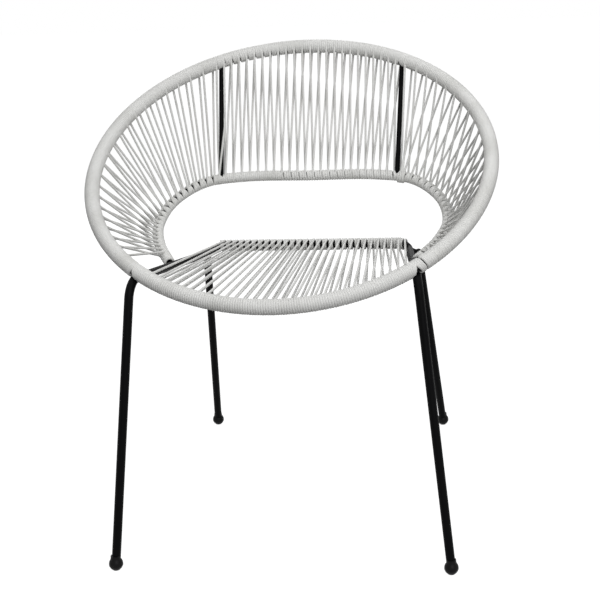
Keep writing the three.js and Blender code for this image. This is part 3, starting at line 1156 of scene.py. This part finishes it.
@dataclass
class SteelFrame:
    """The welded steel: two side frames, the rail, the seat bar, the struts and the hoop."""

    hoop: HoopLine
    side: FrameLine
    rail: RailLine
    bar: BarLine
    rod_radius: float = 6 * MM
    strut_radius: float = 4.5 * MM
    sides: int = 20
    rail_steps: int = 60
    bend_steps: int = 10

    def build(self) -> None:
        """Makes the steel pieces and dresses them."""
        steel = SteelFinish().material()
        for side in Side:
            name = "side_frame_" + side.word
            front = self.side.front_and_rail()
            parts = ((front, [1.0] * len(front)), self.side.rear_leg(side), self.side.weld(side))
            runs, swells = [[side.turned(p) for p in run] for run, _ in parts], [swell for _, swell in parts]
            tube = round_rod("steel_" + name, runs, self.side.tube_radius, self.sides, swells)
            dressed(tube, steel, Slot.STEEL, name)
            name = "back_strut_" + side.word
            top = self.hoop.station(self.hoop.strut_place(side)).at
            foot = self.rail.station(self.rail.strut_place(side)).at
            strut = round_rod("steel_" + name, [[top, foot]], self.strut_radius, self.sides)
            dressed(strut, steel, Slot.STEEL, name)
        steps = range(-self.rail_steps, self.rail_steps + 1)
        samples = [self.rail.station(self.rail.reach * k / self.rail_steps).at for k in steps]
        dressed(round_rod("steel_back_rail", [samples], self.rod_radius, self.sides), steel, Slot.STEEL, "back_rail")
        bend = self.bar.reach - self.bar.straight
        bends = [self.bar.straight + bend * k / self.bend_steps for k in range(self.bend_steps + 1)]
        run = [self.bar.station(place).at for place in [-place for place in bends[::-1]] + bends]
        bar = round_rod("steel_rear_seat_bar", [run], self.side.tube_radius, self.sides)
        dressed(bar, steel, Slot.STEEL, "rear_seat_bar")
        ring = bpy.data.objects["hoop_ring"]
        ring.data.materials.clear()
        ring.data.materials.append(steel)


@dataclass
class BallFeet:
    """Four moulded ball feet with a flat underneath, a parting ridge and a short collar round the leg."""

    side: FrameLine
    radius: float = 11.6 * MM
    ridge: float = 0.3 * MM
    ridge_height: float = 8.6 * MM
    collar_radius: float = 8.3 * MM
    collar_top: float = 25 * MM
    edge: float = 1.0 * MM
    edge_share: float = 0.3
    ridge_spread: float = 0.6 * MM
    collar_shares: tuple[float, float, float] = (1.04, 0.97, 0.94)
    steps: int = 40
    arc_steps: int = 24

    def _profile(self, height: float) -> list[Vector]:
        """Lists the outline from the middle of the underside up to the leg.

        Args:
            height: The height of the ball's middle.

        Returns:
            The points, in the plane y = 0.
        """
        lowest = asin(min(1.0, (height - self.edge) / self.radius))
        flat = sqrt(self.radius**2 - (height - self.edge) ** 2)
        worn = self.edge * self.edge_share
        points = [Vector((0, 0, 0)), Vector((flat - self.edge, 0, 0)), Vector((flat - worn, 0, worn))]
        foot, middle, rim = (self.collar_radius * share for share in self.collar_shares)
        highest = acos(foot / self.radius)
        for k in range(self.arc_steps + 1):
            a = -lowest + (highest + lowest) * k / self.arc_steps
            z = height + self.radius * sin(a)
            lip = self.ridge * exp(-(((z - self.ridge_height) / self.ridge_spread) ** 2))
            points.append(Vector(((self.radius + lip) * cos(a), 0, z)))
        top = points[-1].z
        points.append(Vector((middle, 0, top + 0.5 * (self.collar_top - top))))
        return points + [Vector((rim, 0, self.collar_top)), Vector((0, 0, self.collar_top))]

    def build(self) -> None:
        """Makes the four feet and dresses them."""
        plastic = FootFinish().material()
        for side in Side:
            for end, centre in (("front", self.side.front_foot), ("rear", self.side.rear_foot)):
                name = f"ball_foot_{end}_{side.word}"
                at = side.turned(Vector((centre.x, centre.y, 0)))
                ball = turned_piece("plastic_" + name, self._profile(centre.z), at, self.steps)
                dressed(ball, plastic, Slot.FOOT, name)


# ---- studio


@dataclass(frozen=True)
class Lamp:
    """A square soft lamp: its name, its place, its width and its power in watts."""

    name: str
    at: tuple[float, float, float]
    size: float
    power: float


@dataclass
class Studio:
    """The pale floor, the soft lights and the camera."""

    camera_at: Vector = at_mm(338.2, -2161.4, 968.1)
    yaw: float = radians(-5.978)
    pitch: float = radians(15.495)
    roll: float = radians(-2.112)
    focal_px: float = 1261.26
    centre_px: tuple[float, float] = (61.52, -0.15)
    frame_px: float = 600
    sensor: float = 36
    clip: tuple[float, float] = (0.05, 60)
    floor_size: float = 30
    bounce: float = 0.12
    shadow: float = 0.3
    glow: float = 0.93
    sky: float = 0.3
    lamps: tuple[Lamp, ...] = (
        Lamp("lamp_above", (0.3, -0.6, 2.6), 2.2, 17),
        Lamp("lamp_front", (1.3, -2.8, 1.75), 1.8, 40),
        Lamp("lamp_rear", (-1.0, 2.6, 1.6), 2.2, 12),
    )
    lit_height: float = 0.45

    def build_camera(self) -> None:
        """Sets up the camera at the photograph's viewpoint."""
        data = bpy.data.cameras.new("camera")
        camera = bpy.data.objects.new("camera", data)
        bpy.context.scene.collection.objects.link(camera)
        ahead = cos(self.pitch)
        look = Vector((sin(self.yaw) * ahead, cos(self.yaw) * ahead, -sin(self.pitch)))
        level = Vector((cos(self.yaw), -sin(self.yaw), 0))
        upright = level.cross(look)
        across = level * cos(self.roll) + upright * sin(self.roll)
        up = upright * cos(self.roll) - level * sin(self.roll)
        camera.matrix_world = Matrix.Translation(self.camera_at) @ Matrix((across, up, -look)).transposed().to_4x4()
        data.sensor_width = self.sensor
        data.lens = self.focal_px * self.sensor / self.frame_px
        data.shift_x = -self.centre_px[0] / self.frame_px
        data.shift_y = self.centre_px[1] / self.frame_px
        data.clip_start, data.clip_end = self.clip
        bpy.context.scene.camera = camera
        LOG.info("camera: lens %.2f mm", data.lens)

    @staticmethod
    def _seen_share(tree: NodeTree) -> NodeSocket:
        """Adds the nodes that give 1 to a ray from the camera or off a shiny or clear surface, and 0 to others.

        Args:
            tree: The node tree.

        Returns:
            The socket with that value.
        """
        rays = add_node(tree, "ShaderNodeLightPath").outputs
        share = rays["Is Camera Ray"]
        for kind in ("Is Glossy Ray", "Is Transmission Ray"):
            share = add_node(tree, "ShaderNodeMath", {"operation": "MAXIMUM"}, {0: share, 1: rays[kind]}).outputs[0]
        return share

    def build_floor(self) -> None:
        """Lays the floor."""
        nothing_selected()
        bpy.ops.mesh.primitive_plane_add(size=self.floor_size, location=(0, 0, 0))
        floor = bpy.context.object
        floor.name = "floor"
        material, tree = new_material("white paper floor")
        tones = [(tone, tone, tone, 1) for tone in (self.bounce, self.shadow)]
        lit, paper = (add_node(tree, "ShaderNodeBsdfDiffuse", {"Color": tone}) for tone in tones)
        glow = add_node(tree, "ShaderNodeEmission", {"Color": (1, 1, 1, 1), "Strength": self.glow})
        white = add_node(tree, "ShaderNodeAddShader", links={0: paper.outputs[0], 1: glow.outputs[0]})
        shown = {0: self._seen_share(tree), 1: lit.outputs[0], 2: white.outputs[0]}
        seen = add_node(tree, "ShaderNodeMixShader", links=shown)
        add_node(tree, "ShaderNodeOutputMaterial", links={"Surface": seen.outputs[0]})
        floor.data.materials.append(material)

    def build_light(self) -> None:
        """Sets the lamps and the world."""
        for lamp in self.lamps:
            data = bpy.data.lights.new(lamp.name, "AREA")
            data.shape, data.size, data.energy = "SQUARE", lamp.size, lamp.power
            light = bpy.data.objects.new(lamp.name, data)
            bpy.context.scene.collection.objects.link(light)
            light.location = lamp.at
            aim = Vector((0, 0, self.lit_height)) - Vector(lamp.at)
            light.rotation_euler = aim.to_track_quat("-Z", "Y").to_euler()
        world = bpy.data.worlds.new("white studio")
        world.use_nodes = True
        tree = world.node_tree
        tree.nodes.clear()
        dimmed = {"To Min": self.sky, "To Max": 1.0}
        strength = add_node(tree, "ShaderNodeMapRange", dimmed, {"Value": self._seen_share(tree)})
        sky = {"Strength": strength.outputs["Result"]}
        background = add_node(tree, "ShaderNodeBackground", {"Color": (1, 1, 1, 1)}, sky)
        add_node(tree, "ShaderNodeOutputWorld", links={"Surface": background.outputs[0]})
        bpy.context.scene.world = world
        bpy.context.scene.view_settings.view_transform = "Standard"


def main() -> None:
    """Builds the chair, the studio and the camera."""
    logging.basicConfig(level=logging.INFO, format="%(message)s")
    studio = Studio()
    studio.build_camera()
    hoop = HoopLine()
    side = FrameLine(hoop)
    rail = RailLine(side)
    bar = BarLine(side)
    Stringing(hoop, side, rail, bar).build()
    SteelFrame(hoop, side, rail, bar).build()
    BallFeet(side).build()
    studio.build_floor()
    studio.build_light()


if __name__ == "__main__":
    main()
